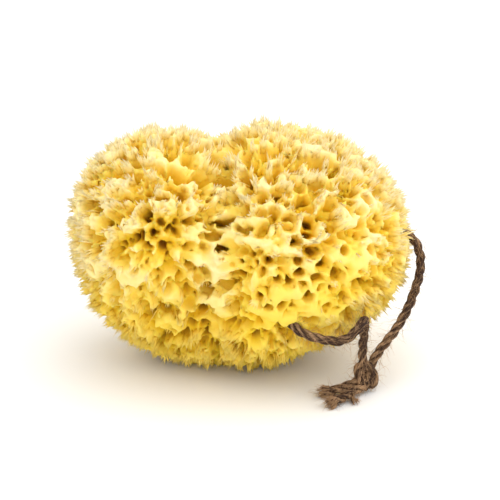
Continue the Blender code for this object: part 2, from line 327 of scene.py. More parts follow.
class Tree:
    """Adds nodes to a tree. Most calls return the new node's first enabled output."""

    def __init__(self, tree):
        self.tree = tree

    def node(self, kind, inputs=None, **settings):
        """Adds a node, sets its properties and links or sets its inputs by name or number."""
        node = self.tree.nodes.new(kind)
        for key, value in settings.items():
            setattr(node, key, value)
        for key, value in (inputs or {}).items():
            if isinstance(key, int):
                socket = node.inputs[key]
            else:
                socket = next(s for s in node.inputs if s.name == key and s.enabled)
            if isinstance(value, bpy.types.NodeSocket):
                self.tree.links.new(value, socket)
            else:
                socket.default_value = value
        return node

    def out(self, kind, inputs=None, **settings):
        node = self.node(kind, inputs, **settings)
        return next(s for s in node.outputs if s.enabled)

    def make(self, kind, inputs=None, **settings):
        """A geometry node's first enabled output."""
        return self.out("GeometryNode" + kind, inputs, **settings)

    def math(self, operation, *values):
        return self.out("ShaderNodeMath", dict(enumerate(values)), operation=operation)

    def times(self, a, b):
        return self.math("MULTIPLY", a, b)

    def plus(self, *values):
        total = values[0]
        for value in values[1:]:
            total = self.math("ADD", total, value)
        return total

    def minus(self, a, b):
        return self.math("SUBTRACT", a, b)

    def over(self, a, b):
        return self.math("DIVIDE", a, b)

    def most(self, a, b):
        return self.math("MAXIMUM", a, b)

    def least(self, a, b):
        return self.math("MINIMUM", a, b)

    def above(self, a, b):
        return self.math("GREATER_THAN", a, b)

    def vector(self, operation, *values):
        return self.out("ShaderNodeVectorMath", dict(enumerate(values)), operation=operation)

    def add(self, *values):
        total = values[0]
        for value in values[1:]:
            total = self.vector("ADD", total, value)
        return total

    def subtract(self, a, b):
        return self.vector("SUBTRACT", a, b)

    def measure(self, operation, *values):
        """A number that is measured on vectors: LENGTH, DISTANCE or DOT_PRODUCT."""
        return self.node("ShaderNodeVectorMath", dict(enumerate(values)), operation=operation).outputs["Value"]

    def combine(self, x, y, z):
        return self.out("ShaderNodeCombineXYZ", {0: x, 1: y, 2: z})

    def axis(self, value, number):
        return self.node("ShaderNodeSeparateXYZ", {0: value}).outputs[number]

    def scale(self, value, factor):
        return self.node("ShaderNodeVectorMath", {0: value, "Scale": factor}, operation="SCALE").outputs[0]

    def mix(self, factor, a, b):
        return self.out("ShaderNodeMix", {0: factor, 2: a, 3: b}, data_type="FLOAT")

    def ramp(self, value, low, high, to_low=0.0, to_high=1.0, shape="SMOOTHSTEP"):
        inputs = {"Value": value, "From Min": low, "From Max": high, "To Min": to_low, "To Max": to_high}
        return self.out("ShaderNodeMapRange", inputs, interpolation_type=shape)

    def noise(self, vector, scale, detail=2.0, roughness=0.5):
        return self.node(
            "ShaderNodeTexNoise",
            {"Vector": vector, "Scale": scale, "Detail": detail, "Roughness": roughness},
        )

    def cells(self, vector, pitch, feature):
        """The outputs of a random cell pattern, distance first."""
        inputs = {"Vector": vector, "Scale": self.over(1.0, pitch), "Randomness": 1.0}
        made = self.node("ShaderNodeTexVoronoi", inputs, feature=feature)
        return [output for output in made.outputs if output.enabled]

    def centred_noise(self, vector, scale, amount, detail=1.0):
        """Noise round zero, from about minus to plus the amount."""
        grain = self.noise(vector, scale, detail).outputs[0]
        return self.times(self.minus(grain, 0.5), 2 * amount)

    def drift(self, vector, scale, amount, detail=2.0):
        """A smooth random offset, up to about half the amount along each axis."""
        colour = self.noise(vector, scale, detail).outputs["Color"]
        return self.scale(self.vector("SUBTRACT", colour, (0.5, 0.5, 0.5)), amount)

    def attribute(self, name, kind="FLOAT"):
        return self.make("InputNamedAttribute", {"Name": name}, data_type=kind)

    def store(self, geometry, name, value, kind="FLOAT"):
        inputs = {"Geometry": geometry, "Name": name, "Value": value}
        return self.make("StoreNamedAttribute", inputs, data_type=kind, domain="POINT")

    def move(self, geometry, **inputs):
        return self.make("SetPosition", {"Geometry": geometry, **inputs})

    def random(self, low, high, seed):
        return self.out("FunctionNodeRandomValue", {2: low, 3: high, "Seed": seed}, data_type="FLOAT")

    def random_vector(self, most, seed):
        inputs = {0: (-most,) * 3, 1: (most,) * 3, "Seed": seed}
        return self.out("FunctionNodeRandomValue", inputs, data_type="FLOAT_VECTOR")

    def shape_of(self, owner):
        return self.node("GeometryNodeObjectInfo", {"Object": owner}).outputs["Geometry"]

    def painted(self, name, output="Fac"):
        """A stored value, read by a material."""
        return self.node("ShaderNodeAttribute", attribute_name=name).outputs[output]


def geometry_tree(name, **inputs):
    """A Geometry Nodes tree with a geometry, a material and named inputs, which are listed by their kind."""
    tree = bpy.data.node_groups.new(name, "GeometryNodeTree")
    tree.interface.new_socket("Geometry", in_out="INPUT", socket_type="NodeSocketGeometry")
    tree.interface.new_socket("Geometry", in_out="OUTPUT", socket_type="NodeSocketGeometry")
    for kind, labels in {"Material": ("Material",), **inputs}.items():
        for label in labels:
            tree.interface.new_socket(label, in_out="INPUT", socket_type="NodeSocket" + kind)
    graph = Tree(tree)
    source = tree.nodes.new("NodeGroupInput")
    return graph, {s.name: s for s in source.outputs if s.name}


def above_ground(graph, geometry, lowest):
    """Raises whatever lies under the lowest height to it."""
    place = graph.make("InputPosition")
    high = graph.most(graph.axis(place, 2), lowest)
    lifted = graph.combine(graph.axis(place, 0), graph.axis(place, 1), high)
    return graph.move(geometry, Position=lifted)


def end_tree(graph, given, geometry):
    """Ends a tree smooth, in Realize Instances and Set Material, and returns it."""
    smooth = graph.make("SetShadeSmooth", {"Geometry": geometry, "Shade Smooth": True})
    real = graph.make("RealizeInstances", {"Geometry": smooth})
    graph.node("NodeGroupOutput", {0: graph.make("SetMaterial", {"Geometry": real, "Material": given["Material"]})})
    return graph


def grow(owner, graph, values):
    """Runs a tree on an object with values for its named inputs, and leaves the result as a plain mesh."""
    modifier = owner.modifiers.new(graph.tree.name, "NODES")
    modifier.node_group = graph.tree
    for item in graph.tree.interface.items_tree:
        if item.in_out == "INPUT" and item.name in values:
            modifier[item.identifier] = values[item.name]
    bpy.context.view_layer.update()
    evaluated = owner.evaluated_get(bpy.context.evaluated_depsgraph_get())
    mesh = bpy.data.meshes.new_from_object(evaluated)
    owner.modifiers.clear()
    owner.data = mesh


def hull_fields(graph, here):
    """How deep points lie below the outer hull, which way is out, and their places on the hull, in millimetres."""
    near_sum, out_sum = None, None
    for centre, radii in LOBES:
        offset = graph.subtract(here, tuple(centre))
        share = graph.measure("LENGTH", graph.vector("DIVIDE", offset, tuple(radii)))
        steep = graph.vector("DIVIDE", offset, tuple(radius * radius for radius in radii))
        slope = graph.most(graph.measure("LENGTH", steep), 1e-6)
        apart = graph.over(graph.times(share, graph.minus(share, 1)), slope)
        near = graph.math("EXPONENT", graph.times(apart, -1 / LOBE_BLEND))
        out = graph.scale(steep, graph.over(near, slope))
        near_sum = near if near_sum is None else graph.plus(near_sum, near)
        out_sum = out if out_sum is None else graph.add(out_sum, out)
    depth = graph.times(graph.math("LOGARITHM", near_sum, math.e), LOBE_BLEND)
    outward = graph.vector("NORMALIZE", out_sum)
    return depth, outward, graph.add(here, graph.scale(outward, depth))


def away_from(graph, geometry, place):
    """The distance from places to the nearest edge of a geometry."""
    inputs = {0: geometry, "Sample Position": place}
    return graph.node("GeometryNodeProximity", inputs, target_element="EDGES").outputs["Distance"]


def area_field(graph, spot, areas):
    """The strongest of several round areas, each with a place, a half width and a strength."""
    strongest = None
    for place, width, strength in areas:
        away = graph.measure("DISTANCE", spot, tuple(place))
        share = graph.math("POWER", graph.times(away, 1 / width), 2)
        field = graph.times(graph.math("EXPONENT", graph.times(share, -1)), strength)
        strongest = field if strongest is None else graph.most(strongest, field)
    return strongest


def area_share(graph, spot, areas):
    """How far inside some round areas points lie: one where an area is full, and nothing outside."""
    places, low, high = areas
    return graph.ramp(area_field(graph, spot, [(*area, 1) for area in places]), low, high)


def body_tree():
    """The sponge's body: a solid that is grown in small cells, from the pores' walls below the outer hull."""
    graph, given = geometry_tree(
        "Grow pored body", Object=("Pores",), Vector=("Low Corner", "High Corner"),
        Float=("Pore Pitch", "Wide Pitch", "Bubble Pitch", "Crest Drop", "Twine Radius"),
        Int=("Cells X", "Cells Y", "Cells Z"),
    )
    place = graph.make("InputPosition")
    here = graph.scale(place, 1 / MM)
    depth, _, nearest = hull_fields(graph, here)
    hollow = area_field(graph, nearest, HOLLOWS)
    is_wide = area_share(graph, nearest, SMOOTH)
    is_solid = area_share(graph, nearest, SOLID)
    is_worn = area_share(graph, nearest, WORN)

    # The pores wander a little over the surface, and lean a little as they go in.
    wander = graph.drift(nearest, 0.075, 7)
    lean = graph.drift(here, 0.16, 4.2)
    spot = graph.add(nearest, wander, lean)

    def cells(pitch):
        """Distance to the wall, share of the way to a corner and a random number, for one pore pitch."""
        pitch = graph.times(pitch, 1 / MM)
        edge = graph.cells(spot, pitch, "DISTANCE_TO_EDGE")[0]
        away, colour = graph.cells(spot, pitch, "F1")[:2]
        round_edge = graph.times(graph.minus(0.62, away), pitch)
        wall = graph.math("SMOOTH_MIN", graph.times(edge, pitch), round_edge, 1.2)
        return wall, away, graph.axis(colour, 0)

    fine, wide = cells(given["Pore Pitch"]), cells(given["Wide Pitch"])
    wall, corner, chance = (graph.mix(is_wide, a, b) for a, b in zip(fine, wide))

    # A large pore has its own round rim.
    pores = graph.shape_of(given["Pores"])
    found = graph.make("SampleNearest", {"Geometry": pores, "Sample Position": graph.scale(nearest, MM)})

    def of_pore(value, kind="FLOAT"):
        return graph.make("SampleIndex", {"Geometry": pores, "Value": value, "Index": found}, data_type=kind)

    pore_place = graph.scale(of_pore(place, "FLOAT_VECTOR"), 1 / MM)
    pore_radius = of_pore(graph.attribute("pore_radius"))
    pore_depth = of_pore(graph.attribute("pore_depth"))
    leaning = graph.add(nearest, graph.scale(lean, 0.5))
    off_axis = graph.measure("LENGTH", graph.subtract(leaning, pore_place))
    rim = graph.math("ABSOLUTE", graph.minus(off_axis, graph.plus(pore_radius, 0.8)))
    wall = graph.least(wall, rim)

    # Crests stand highest at the corners between pores, and are torn to teeth.
    rise = graph.ramp(corner, 0.42, 0.72)
    uneven = graph.ramp(graph.noise(nearest, 0.13, 1).outputs[0], 0.3, 0.7, 0.35, 1.3)
    dip = graph.times(graph.times(given["Crest Drop"], 1 / MM), uneven)
    dip = graph.times(graph.minus(1, rise), dip)
    less_torn = graph.mix(is_worn, 1, 0.6)
    dip = graph.times(dip, less_torn)
    teeth = graph.times(graph.centred_noise(nearest, 0.45, 3.2), less_torn)
    swell = graph.ramp(graph.noise(nearest, 0.05).outputs[0], 0.3, 0.7, 0, 1.2)
    torn = graph.plus(dip, teeth, swell)
    even = graph.plus(graph.times(dip, 0.5), graph.centred_noise(nearest, 0.3, 1.6))
    crest = graph.most(graph.mix(is_wide, torn, even), 0.1)
    crest = graph.times(crest, graph.ramp(graph.axis(nearest, 2), -1, 6, 0.35, 1))
    crest = graph.mix(is_solid, crest, 0.8)
    sunk = graph.minus(depth, graph.plus(crest, hollow))
    sunk = graph.plus(sunk, graph.centred_noise(here, 0.55, 0.5, 2))
    below = graph.most(sunk, 0)

    # Walls grow thicker as they go in, down to the floor of their pore.
    thin_wall = graph.times(graph.math("POWER", below, 0.85), 0.30)
    thin_wall = graph.plus(thin_wall, graph.times(graph.ramp(below, 0, 2), graph.times(is_worn, 0.3)))
    thick_wall = graph.times(graph.math("POWER", below, 0.42), 0.78)
    wall_fill = graph.minus(graph.mix(is_wide, thin_wall, thick_wall), wall)
    floor_fill = graph.minus(sunk, graph.ramp(chance, 0, 1, 3.5, 9.5, "LINEAR"))
    fill = graph.math("SMOOTH_MAX", wall_fill, floor_fill, 1.6)
    fill = graph.mix(is_solid, fill, sunk)
    taper = graph.minus(1, graph.times(graph.over(below, pore_depth), 0.4))
    bore = graph.minus(off_axis, graph.times(pore_radius, taper))
    bore = graph.math("SMOOTH_MAX", bore, graph.minus(sunk, pore_depth), 1.2)
    fill = graph.math("SMOOTH_MIN", fill, bore, 0.7)
    fill = graph.plus(fill, graph.centred_noise(here, 0.85, 0.3, 2))
    fill = graph.least(fill, sunk)

    # Small pores pierce the walls, and go no deeper into the solid than their own width.
    bubble_pitch = graph.times(given["Bubble Pitch"], 1 / MM)
    away, colour = graph.cells(here, bubble_pitch, "F1")[:2]
    bubble_radius = graph.ramp(graph.axis(colour, 1), 0.45, 1, 0, 0.5, "LINEAR")
    bubble_wall = graph.times(graph.minus(away, bubble_radius), bubble_pitch)
    bubble_wall = graph.most(bubble_wall, graph.minus(fill, 1.5))
    fill = graph.math("SMOOTH_MIN", fill, bubble_wall, 0.3)

    # The twine has a clear channel, and the ground cuts the sponge flat.
    route_away = away_from(graph, given["Geometry"], place)
    fill = graph.least(fill, graph.times(graph.minus(route_away, given["Twine Radius"]), 1 / MM))
    fill = graph.least(fill, graph.axis(here, 2))

    density = graph.most(graph.plus(fill, SURFACE_LEVEL), 0)
    density = graph.least(density, 2 * SURFACE_LEVEL)
    volume = graph.make("VolumeCube", {
        "Density": density, "Background": 0, "Min": given["Low Corner"], "Max": given["High Corner"],
        **{"Resolution " + axis: given["Cells " + axis] for axis in "XYZ"},
    })
    surface = graph.make("VolumeToMesh", {"Volume": volume, "Threshold": SURFACE_LEVEL}, resolution_mode="GRID")
    island = graph.node("GeometryNodeInputMeshIsland").outputs["Island Index"]
    count = graph.node(
        "GeometryNodeAccumulateField", {"Value": 1, "Group ID": island}, data_type="INT", domain="POINT"
    ).outputs["Total"]
    is_crumb = graph.out("FunctionNodeCompare", {2: count, 3: CRUMB_POINTS}, data_type="INT", operation="LESS_THAN")
    surface = graph.make("DeleteGeometry", {"Geometry": surface, "Selection": is_crumb}, domain="POINT")
    return end_tree(graph, given, surface)


def depth_tree():
    """Stores how deep each point looks to lie, in millimetres below the outer hull, as the colour ramp reads it; the
    smooth areas are made to look deeper, which paints shade on them.
    """
    graph, given = geometry_tree("Measure depth")
    here = graph.scale(graph.make("InputPosition"), 1 / MM)
    depth, _, nearest = hull_fields(graph, here)
    depth = graph.minus(depth, graph.times(area_field(graph, nearest, HOLLOWS), 0.6))
    # Painted shade: the smooth areas count 1.8 mm deeper, so that the colour ramp darkens them.
    depth = graph.plus(depth, graph.times(area_share(graph, nearest, SMOOTH), 1.8))
    return end_tree(graph, given, graph.store(given["Geometry"], "depth", depth))


def ply_tree():
    """Twine of three twisted plies along a path. Round the ply and along it are stored for the fibres."""
    graph, given = geometry_tree("Twist plies", Float=("Diameter", "Lay", "Roughness", "Slack"))
    path = graph.make("MeshToCurve", {"Mesh": given["Geometry"]})
    path = graph.make("ResampleCurve", {"Curve": path, "Length": 0.6 * MM}, mode="LENGTH")
    along = graph.node("GeometryNodeSplineParameter")
    factor = along.outputs["Factor"]
    length = graph.times(along.outputs["Length"], 1 / MM)
    tangent = graph.make("InputTangent")
    normal = graph.make("InputNormal")
    path = graph.store(graph.store(path, "along", length), "share", factor)
    path = graph.store(path, "onward", tangent, "FLOAT_VECTOR")
    across = graph.vector("CROSS_PRODUCT", tangent, normal)
    ply_radius = graph.times(given["Diameter"], 0.5 / THREE_CIRCLES)
    loosened = graph.times(graph.ramp(factor, 0.72, 1), given["Slack"])
    reach = graph.times(ply_radius, graph.plus(loosened, 1.1))
    turn = graph.over(along.outputs["Length"], given["Lay"])

    ring = graph.node("GeometryNodeCurvePrimitiveCircle", {"Resolution": 11, "Radius": ply_radius}).outputs[0]
    ring_turn = graph.times(graph.node("GeometryNodeSplineParameter").outputs["Factor"], 2 * math.pi)
    round_ply = graph.combine(graph.math("COSINE", ring_turn), graph.math("SINE", ring_turn), 0)
    ring = graph.store(ring, "around", round_ply, "FLOAT_VECTOR")
    joined = graph.node("GeometryNodeJoinGeometry")
    for ply in range(3):
        angle = graph.times(graph.plus(turn, ply / 3), 2 * math.pi)
        offset = graph.add(
            graph.scale(normal, graph.math("COSINE", angle)), graph.scale(across, graph.math("SINE", angle))
        )
        laid = graph.move(path, Offset=graph.scale(offset, reach))
        laid = graph.store(graph.store(laid, "ply", float(ply)), "away", offset, "FLOAT_VECTOR")
        tube = graph.make("CurveToMesh", {"Curve": laid, "Profile Curve": ring, "Fill Caps": True})
        graph.tree.links.new(tube, joined.inputs[0])

    # The crown of a ply faces away from the twine's middle, and bundles of fibres stand out along each ply.
    outside = graph.make("InputNormal")
    crown = graph.measure("DOT_PRODUCT", graph.attribute("away", "FLOAT_VECTOR"), outside)
    # The crown is stored for the jute material, which paints shade on the sides of each ply.
    twine = graph.store(joined.outputs[0], "crown", crown)
    shift = graph.combine(graph.times(graph.attribute("ply"), 7), 0, graph.times(graph.attribute("along"), 0.16))
    spot = graph.add(graph.attribute("around", "FLOAT_VECTOR"), shift)
    bundle = graph.centred_noise(spot, 1.9, 1, 2)
    twine = graph.move(twine, Offset=graph.scale(outside, graph.times(bundle, given["Roughness"])))
    return end_tree(graph, given, twine)


def hair_tree():
    """Loose fibres that stand out of the plies, each a thin bent tube that ends in a point."""
    graph, given = geometry_tree(
        "Raise loose fibres", Int=("Seed",),
        Float=("Per Square Metre", "Longest", "Thickness", "Forward", "From Share", "Curl"),
    )
    wanted = graph.above(graph.attribute("share"), given["From Share"])
    scattered = graph.node("GeometryNodeDistributePointsOnFaces", {
        "Mesh": given["Geometry"], "Density": graph.times(wanted, given["Per Square Metre"]),
        "Seed": given["Seed"],
    }, distribute_method="RANDOM")
    onward = graph.scale(graph.attribute("onward", "FLOAT_VECTOR"), given["Forward"])
    outward = graph.scale(scattered.outputs["Normal"], 0.5)
    heading = graph.add(onward, graph.random_vector(1, given["Seed"]), outward)
    turned = graph.out("FunctionNodeAlignRotationToVector", {"Vector": heading}, axis="Z")
    size = graph.random(graph.times(given["Longest"], 0.25), given["Longest"], 3)
    line = graph.make("CurvePrimitiveLine", {"Start": (0, 0, -0.12), "End": (0, 0, 1)})
    line = graph.make("ResampleCurve", {"Curve": line, "Count": 7}, mode="COUNT")
    hairs = graph.make("InstanceOnPoints", {
        "Points": scattered.outputs["Points"], "Instance": line, "Rotation": turned, "Scale": size,
    })
    hairs = graph.make("RealizeInstances", {"Geometry": hairs})
    reach = graph.node("GeometryNodeSplineParameter").outputs["Factor"]
    spot = graph.scale(graph.make("InputPosition"), 1 / MM)
    curl = graph.times(graph.math("POWER", reach, 1.6), given["Curl"])
    hairs = above_ground(graph, graph.move(hairs, Offset=graph.drift(spot, 0.22, curl, 1)), 0.1 * MM)
    taper = graph.times(given["Thickness"], graph.ramp(reach, 0.3, 1, 0.5, 0.15, "LINEAR"))
    ring = graph.node("GeometryNodeCurvePrimitiveCircle", {"Resolution": 3, "Radius": 1}).outputs[0]
    hairs = graph.make("CurveToMesh", {"Curve": hairs, "Profile Curve": ring, "Scale": taper, "Fill Caps": True})
    return end_tree(graph, given, graph.store(hairs, "loose", 1))


def tuft_mesh():
    """A torn blade with three teeth, one wide and one high, with its root at the origin."""
    pairs = ((-0.5, 0, 0.16), (0.5, 0, 0.16), (-0.46, 0.36, 0.11), (0.46, 0.36, 0.11),
             (-0.16, 0.46, 0.08), (0.18, 0.40, 0.08))
    tips = ((-0.52, 0.05, 0.86), (0.04, -0.04, 1), (0.50, 0.06, 0.78))
    points = [(x, -y, z) for x, z, y in pairs] + [(x, y, z) for x, z, y in pairs] + list(tips)
    front = [(0, 1, 3, 2), (2, 3, 5, 4), (2, 4, 12), (4, 5, 13), (5, 3, 14)]
    back = [tuple(i if i > 11 else i + 6 for i in reversed(face)) for face in front]
    rim = [(1, 0, 6, 7), (0, 2, 8, 6), (3, 1, 7, 9), (2, 12, 8), (12, 4, 10), (4, 13, 10), (13, 5, 11),
           (5, 14, 11), (14, 3, 9)]
    return mesh_from("tuft", np.array(points) / MM, front + back + rim)


def tuft_tree():
    """Torn tufts that grow from the walls' crests to the outer hull."""
    graph, given = geometry_tree(
        "Grow tufts", Object=("Tuft", "Route"), Float=("Width", "Deepest Root", "Sector Middle"),
        Int=("Count", "Seed"),
    )

    def chance(low, high, salt):
        return graph.random(low, high, graph.plus(given["Seed"], salt))

    place = graph.make("InputPosition")
    depth, outward, nearest = hull_fields(graph, graph.scale(place, 1 / MM))
    deepest = graph.times(given["Deepest Root"], 1 / MM)
    facing = graph.measure("DOT_PRODUCT", graph.make("InputNormal"), outward)

    # A third of the way round for each piece, on the crests and off the twine.
    flat = graph.subtract(nearest, MIDDLE)
    angle = graph.math("ARCTAN2", graph.axis(flat, 1), graph.axis(flat, 0))
    turn = graph.math("COSINE", graph.minus(angle, given["Sector Middle"]))
    wanted = graph.above(turn, 0.5)
    away = away_from(graph, graph.shape_of(given["Route"]), place)
    for limit in (
        graph.above(away, 3.2 * MM),
        graph.math("LESS_THAN", depth, deepest),
        graph.above(facing, 0),
        graph.math("LESS_THAN", facing, 0.8),
        graph.above(depth, 0.1),
    ):
        wanted = graph.times(wanted, limit)
    sparse = graph.times(area_share(graph, nearest, SMOOTH), graph.above(depth, 0.7))
    weight = graph.times(wanted, graph.minus(1, graph.times(sparse, 0.93)))
    weight = graph.times(weight, graph.ramp(depth, 1, deepest, 1, 0.25))
    weight = graph.times(weight, graph.mix(area_share(graph, nearest, WORN), 1, 0.32))
    scattered = graph.node("GeometryNodeDistributePointsOnFaces", {
        "Mesh": given["Geometry"], "Distance Min": 0.75 * MM, "Density Max": 1.6e6, "Density Factor": weight,
        "Seed": given["Seed"],
    }, distribute_method="POISSON")
    points = scattered.outputs["Points"]
    wall = scattered.outputs["Normal"]

    # No more than the wanted number, picked evenly.
    total = graph.node("GeometryNodeAttributeDomainSize", {"Geometry": points}, component="POINTCLOUD").outputs[0]
    share = graph.over(given["Count"], total)
    extra = graph.above(chance(0, 1, 1), share)
    points = graph.make("DeleteGeometry", {"Geometry": points, "Selection": extra}, domain="POINT")

    # Each leans its own way a little, with its width along the crest.
    lean = graph.add(outward, graph.random_vector(0.3, given["Seed"]), graph.scale(wall, -0.15))
    lean = graph.vector("NORMALIZE", lean)
    along = graph.vector("CROSS_PRODUCT", wall, lean)
    turned = graph.out("FunctionNodeAlignRotationToVector", {"Vector": lean}, axis="Z")
    turned = graph.out("FunctionNodeAlignRotationToVector", {"Rotation": turned, "Vector": along}, axis="X",
                       pivot_axis="Z")
    root = 1.8
    tall = graph.plus(depth, root, chance(-1, 1.6, 2), graph.centred_noise(nearest, 0.12, 1.6))
    tall = graph.times(graph.most(tall, 1.6), MM)
    wide = graph.times(given["Width"], chance(0.7, 1.6, 3))
    thick = graph.times(given["Width"], chance(0.7, 1.1, 4))
    scale = graph.combine(wide, thick, tall)
    rooted = graph.move(points, Offset=graph.scale(lean, -root * MM))
    grown = graph.make("InstanceOnPoints", {
        "Points": rooted, "Instance": graph.shape_of(given["Tuft"]), "Rotation": turned, "Scale": scale,
    })
    grown = graph.make("RealizeInstances", {"Geometry": grown})

    # Each tuft curls its own way towards its tips, and none goes under the ground.
    curl = graph.times(graph.ramp(depth, 4, 0), 2.4 * MM)
    bend = graph.drift(graph.scale(place, 1 / MM), 0.45, curl)
    grown = above_ground(graph, graph.move(grown, Offset=bend), 0.05 * MM)
    return end_tree(graph, given, graph.store(grown, "depth", depth))


def set_inputs(node, values):
    for name, value in values.items():
        node.inputs[name].default_value = value


def node_material(name):
    """A new material, a Tree for its nodes and its shader."""
    made = bpy.data.materials.new(name)
    made.use_nodes = True
    graph = Tree(made.node_tree)
    return made, graph, made.node_tree.nodes["Principled BSDF"]


def finish_shader(graph, shader, shade, stops, grain, relief, dullness, shine):
    """Colours a shader by a ramp, roughens it with a fine relief of a strength and a height, and dulls it."""
    ramp = graph.node("ShaderNodeValToRGB", {0: shade})
    while len(ramp.color_ramp.elements) < len(stops):
        ramp.color_ramp.elements.new(0.5)
    for element, (position, colour) in zip(ramp.color_ramp.elements, stops):
        element.position = position
        element.color = (*colour, 1)
    graph.tree.links.new(ramp.outputs[0], shader.inputs["Base Color"])
    strength, height = relief
    bump = graph.out("ShaderNodeBump", {"Height": grain, "Strength": strength, "Distance": height})
    graph.tree.links.new(bump, shader.inputs["Normal"])
    set_inputs(shader, {"Roughness": dullness, "Specular IOR Level": shine})


def sponge_material(name, settings, glow):
    """Dry sponge: pale tips and golden walls, turning darker and browner down the pores as painted shade, with a fine
    fibrous grain. Light glows through.
    """
    made, graph, shader = node_material(name)
    place = graph.node("ShaderNodeTexCoord").outputs["Object"]
    # Painted shade: lower down the sponge the colour is pushed further along the ramp, darker and browner, as if less
    # light reached it there.
    painted_low_shade = graph.ramp(graph.axis(place, 2), 0.072, 0.012, 0, 4.2)
    depth = graph.plus(graph.painted("depth"), graph.centred_noise(place, 55, 2, 3), painted_low_shade)
    tip, wall, deep = (tuple(c) for c in (settings.tip_colour, settings.wall_colour, settings.deep_colour))
    # From the tips to the walls the ramp is partly the sponge's own colour; deeper down it is painted shade, more
    # saturated and browner towards the pores' floors.
    stops = ((0.03, tip), (0.28, wall), (0.62, deep), (0.95, PAINTED_PORE_SHADE))
    grain = graph.noise(place, 2600, 3, 0.6).outputs[0]
    shade = graph.ramp(depth, -1, 15, shape="LINEAR")
    finish_shader(graph, shader, shade, stops, grain, (0.35, 0.4 * MM), 0.9, 0.15)
    set_inputs(shader, {
        "Subsurface Weight": glow, "Subsurface Radius": (1, 0.6, 0.15), "Subsurface Scale": 2.5 * MM,
    })
    return made


def jute_material(settings):
    """Dry jute: streaks of fibre along each ply, painted shade in the grooves between the plies, and paler loose
    fibres.
    """
    made, graph, shader = node_material("jute_fibre")
    along, loose = graph.painted("along"), graph.painted("loose")
    twisted = graph.out("ShaderNodeVectorRotate", {
        "Vector": graph.painted("around", "Vector"), "Axis": (0, 0, 1), "Angle": graph.times(along, 0.35),
    }, rotation_type="AXIS_ANGLE")
    shift = graph.combine(graph.times(graph.painted("ply"), 5), 0, graph.times(along, 0.22))
    streak = graph.noise(graph.add(twisted, shift), 2.4, 4, 0.7).outputs[0]
    patch = graph.centred_noise(graph.node("ShaderNodeTexCoord").outputs["Object"], 160, 0.12, 2)
    # Painted shade: the sides of each ply, away from its crown, are darkened where the grooves between the plies lie.
    painted_groove_shade = graph.times(graph.ramp(graph.painted("crown"), -0.1, 0.95, -0.12, 0.04), graph.minus(1, loose))
    shade = graph.plus(streak, patch, graph.times(loose, 0.14), painted_groove_shade)
    dark, light = tuple(settings.dark_colour), tuple(settings.light_colour)
    middle = tuple(0.62 * a + 0.38 * b for a, b in zip(dark, light))
    stops = ((0.37, dark), (0.50, middle), (0.64, light))
    finish_shader(graph, shader, shade, stops, streak, (0.8, 0.3 * MM), 0.8, 0.25)
    return made


class SPONGE_OT_set_stage(bpy.types.Operator):
    """Sets the camera, the floor and the lights"""

    bl_idname = "sponge.set_stage"
    bl_label = "Set the stage"

    def execute(self, context):
        settings = context.scene.sponge_stage
        target = Vector(settings.target)
        back = Vector((0, -math.cos(settings.elevation), math.sin(settings.elevation)))
        camera = bpy.data.objects.new("camera", bpy.data.cameras.new("camera"))
        context.scene.collection.objects.link(camera)
        camera.location = target + back * settings.distance
        camera.rotation_euler = (math.pi / 2 - settings.elevation, 0, 0)
        camera.data.lens = settings.lens
        camera.data.sensor_width = 36
        camera.data.clip_start = 0.01
        context.scene.camera = camera

        bpy.ops.mesh.primitive_plane_add(size=12)
        floor = context.active_object
        floor.name = "floor"
        made, _, shader = node_material("pale_floor")
        colour = (*settings.floor_colour, 1)
        set_inputs(shader, {"Base Color": colour, "Roughness": 0.8, "Specular IOR Level": 0.1})
        floor.data.materials.append(made)

        world = bpy.data.worlds.new("white_room")
        world.use_nodes = True
        set_inputs(world.node_tree.nodes["Background"], {"Color": (1, 1, 1, 1), "Strength": ROOM_LIGHT})
        context.scene.world = world
        for name, place, size, power in LIGHTS:
            light = bpy.data.objects.new(name, bpy.data.lights.new(name, "AREA"))
            context.scene.collection.objects.link(light)
            light.data.size = size
            light.data.energy = power
            light.location = place
            light.rotation_euler = (target - light.location).to_track_quat("-Z", "Y").to_euler()
        context.scene.view_settings.view_transform = "Standard"
        return {"FINISHED"}


def twine_piece(name, points, settings, slack=0.0, thickness=1.0):
    """A length of laid twine through points, as a plain mesh."""
    piece = new_object(name, mesh_from(name, points, is_line=True))
    grow(piece, ply_tree(), {
        "Material": bpy.data.materials["jute_fibre"], "Diameter": settings.diameter * thickness, "Lay": settings.lay,
        "Roughness": 0.26 * MM, "Slack": slack,
    })
    return piece


def hair_piece(name, twine, values):
    """Hairs on a length of twine, as a plain mesh."""
    piece = new_object(name, twine.data.copy())
    grow(piece, hair_tree(), {"Material": bpy.data.materials["jute_fibre"], **values})
    return piece


def fuzz_on(twine, settings, seed, many=1.0, long=1.0, thickness=0.11, forward=0.7):
    """The loose fibres of a length of twine."""
    return hair_piece(twine.name + "_fibres", twine, {
        "Per Square Metre": settings.fibres * many, "Longest": settings.fibre_length * long,
        "Thickness": thickness * MM, "Forward": forward, "Curl": 7.0 * MM, "Seed": seed,
    })


def in_knot(points):
    """Points given across, up and towards the camera, turned and moved into the knot."""
    lean = Matrix.Rotation(-CAMERA_ELEVATION, 3, "X") @ Matrix.Rotation(KNOT_TILT, 3, "Y")
    return [Vector(KNOT_CENTRE) + lean @ Vector((across, -near, up)) for across, up, near in points]


def dress(piece, slot, *nodes):
    """A finished piece rides on the sponge and stands for its nodes. The slot is not used."""
    if not piece.data.polygons:
        raise RuntimeError(piece.name + " is empty")
    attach(piece, "root")
    if nodes:
        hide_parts(*nodes)


